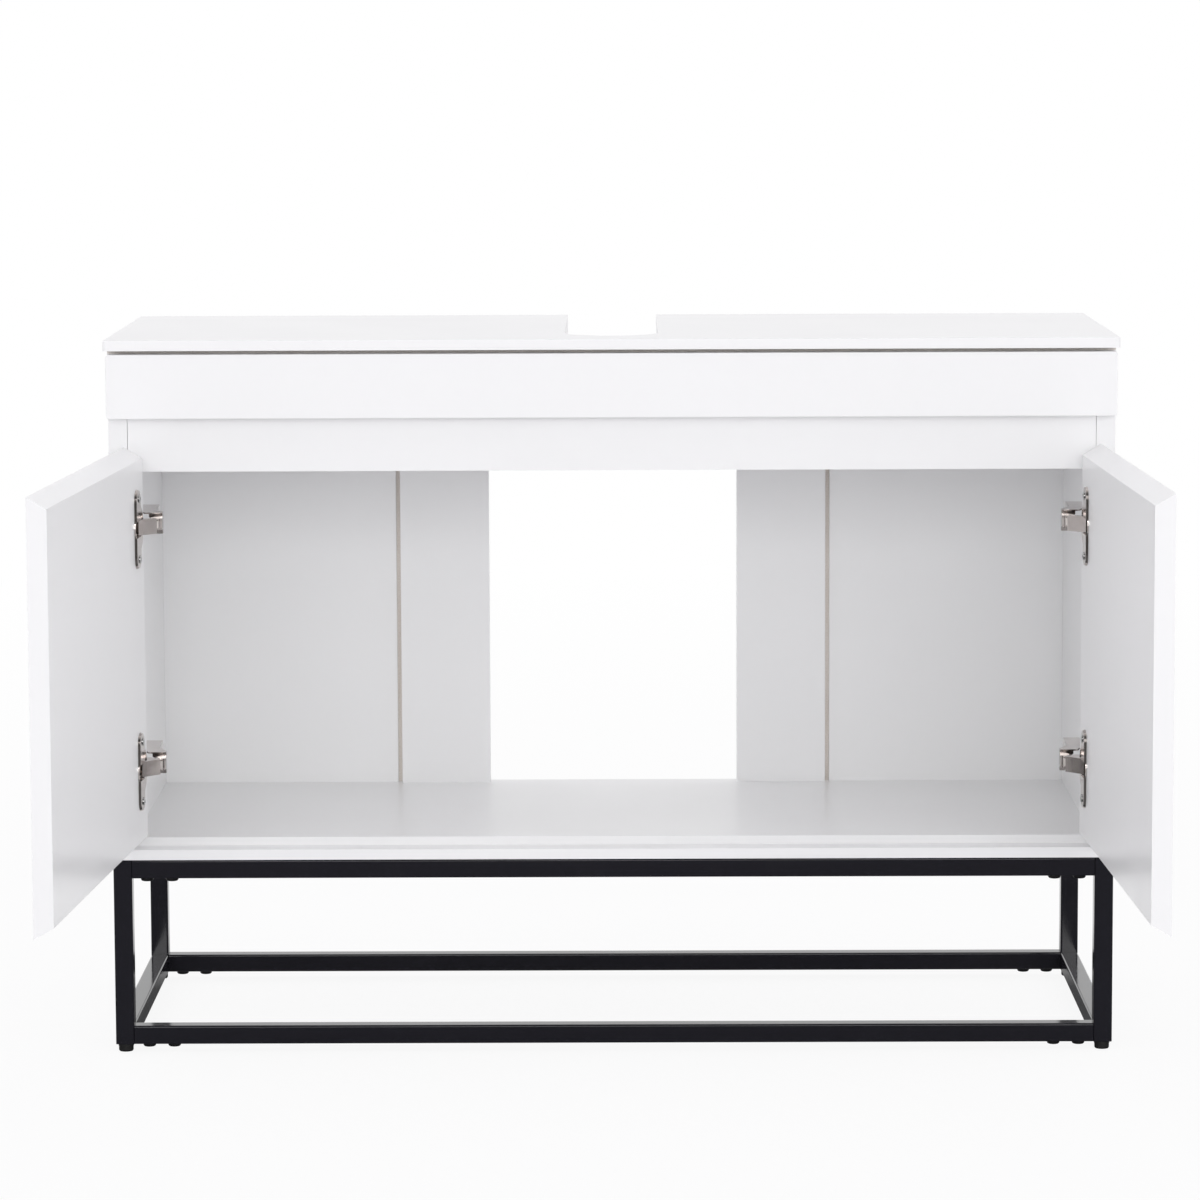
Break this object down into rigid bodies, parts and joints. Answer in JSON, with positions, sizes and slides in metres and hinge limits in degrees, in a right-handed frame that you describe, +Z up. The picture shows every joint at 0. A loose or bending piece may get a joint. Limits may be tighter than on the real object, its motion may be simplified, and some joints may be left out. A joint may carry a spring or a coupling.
{
  "type": "sink base cabinet",
  "caption": "Low white sink base cabinet with bevelled hinged doors, a cut-out top for a basin drain, an open plumbing gap at the back and a black tube frame on feet.",
  "frame": {"origin": "on the floor, at the centre of the rectangle of the four feet", "axes": "+X runs across the cabinet to the right as seen from the front, +Y from the doors to the back, +Z up"},
  "size_m": [0.8195, 0.698, 0.5725],
  "materials": {
    "white_lacquer": "satin white lacquer on fibreboard",
    "black_powder_coat": "fine satin powder coat",
    "black_bolt_steel": "black oxide, semi-matt",
    "black_plastic": "matt",
    "beech": "unfinished",
    "zinc_screws": "bright zinc plate",
    "nickel_steel": "nickel plate"
  },
  "bodies": {
    "cabinet": {"top_board": "white_lacquer", "fascia_panel": "white_lacquer", "front_rail": "white_lacquer", "side_panel_left": "white_lacquer", "side_panel_right": "white_lacquer", "floor_panel": "white_lacquer", "back_stile_left": "white_lacquer", "back_stile_right": "white_lacquer", "back_sheet_left": "white_lacquer", "back_sheet_right": "white_lacquer", "hinge_arms_left": "nickel_steel", "hinge_arms_right": "nickel_steel", "arm_pins_left": "nickel_steel", "arm_pins_right": "nickel_steel", "mounting_plates_left": "nickel_steel", "mounting_plates_right": "nickel_steel", "plate_screws_left": "zinc_screws", "plate_screws_right": "zinc_screws", "arm_screws_left": "zinc_screws", "arm_screws_right": "zinc_screws", "leg_front_left": "black_powder_coat", "leg_front_right": "black_powder_coat", "leg_rear_left": "black_powder_coat", "leg_rear_right": "black_powder_coat", "side_rail_lower_left": "black_powder_coat", "side_rail_lower_right": "black_powder_coat", "side_rail_upper_left": "black_powder_coat", "side_rail_upper_right": "black_powder_coat", "long_rail_lower_front": "black_powder_coat", "long_rail_lower_rear": "black_powder_coat", "long_rail_upper_front": "black_powder_coat", "long_rail_upper_rear": "black_powder_coat", "rail_stubs_left": "black_powder_coat", "rail_stubs_right": "black_powder_coat", "frame_bolts": "black_bolt_steel", "foot_inserts": "black_plastic", "frame_screws": "zinc_screws", "fascia_screws": "zinc_screws", "panel_dowels": "beech", "rail_dowels": "beech", "stile_dowels": "beech"},
    "left_door": {"door_left": "white_lacquer", "hinge_cups_left": "nickel_steel", "cup_pins_left": "nickel_steel", "cup_screws_left": "zinc_screws"},
    "left_rear_links": {"rear_links_left": "nickel_steel"},
    "left_front_links": {"front_links_left": "nickel_steel"},
    "right_door": {"door_right": "white_lacquer", "hinge_cups_right": "nickel_steel", "cup_pins_right": "nickel_steel", "cup_screws_right": "zinc_screws"},
    "right_rear_links": {"rear_links_right": "nickel_steel"},
    "right_front_links": {"front_links_right": "nickel_steel"},
    "front_left_foot": {"foot_front_left": "black_plastic"},
    "front_right_foot": {"foot_front_right": "black_plastic"},
    "rear_left_foot": {"foot_rear_left": "black_plastic"},
    "rear_right_foot": {"foot_rear_right": "black_plastic"}
  },
  "joints": [
    {"name": "left_rear_link_swing", "type": "hinge", "parent": "cabinet", "child": "left_rear_links", "pos_m": [-0.3614, -0.1353, 0.32815], "axis": [0, 0, 1], "range_deg": [-41.58, 1.28]},
    {"name": "left_door_swing", "type": "hinge", "parent": "left_rear_links", "child": "left_door", "pos_m": [-0.37557, -0.15761, 0.32815], "axis": [0, 0, 1], "range_deg": [-4.03, 135.73]},
    {"name": "left_front_link_swing", "type": "hinge", "parent": "cabinet", "child": "left_front_links", "pos_m": [-0.3643, -0.1472, 0.32815], "axis": [0, 0, 1], "range_deg": [-48.91, 1.5]},
    {"name": "right_rear_link_swing", "type": "hinge", "parent": "cabinet", "child": "right_rear_links", "pos_m": [0.3614, -0.1353, 0.32815], "axis": [0, 0, 1], "range_deg": [-2.22, 40.65]},
    {"name": "right_door_swing", "type": "hinge", "parent": "right_rear_links", "child": "right_door", "pos_m": [0.37594, -0.15737, 0.32815], "axis": [0, 0, 1], "range_deg": [-132.67, 7.1]},
    {"name": "right_front_link_swing", "type": "hinge", "parent": "cabinet", "child": "right_front_links", "pos_m": [0.3643, -0.1472, 0.32815], "axis": [0, 0, 1], "range_deg": [-2.61, 47.81]},
    {"name": "front_left_foot_height", "type": "slide", "parent": "cabinet", "child": "front_left_foot", "axis": [0, 0, -1], "range_m": [0, 0.008]},
    {"name": "front_right_foot_height", "type": "slide", "parent": "cabinet", "child": "front_right_foot", "axis": [0, 0, -1], "range_m": [0, 0.008]},
    {"name": "rear_left_foot_height", "type": "slide", "parent": "cabinet", "child": "rear_left_foot", "axis": [0, 0, -1], "range_m": [0, 0.008]},
    {"name": "rear_right_foot_height", "type": "slide", "parent": "cabinet", "child": "rear_right_foot", "axis": [0, 0, -1], "range_m": [0, 0.008]}
  ],
  "couplings": [
    {"joint": "left_rear_link_swing", "follows": "left_door_swing", "ratio": -0.306},
    {"joint": "left_front_link_swing", "follows": "left_door_swing", "ratio": -0.36},
    {"joint": "right_rear_link_swing", "follows": "right_door_swing", "ratio": -0.306},
    {"joint": "right_front_link_swing", "follows": "right_door_swing", "ratio": -0.36}
  ]
}
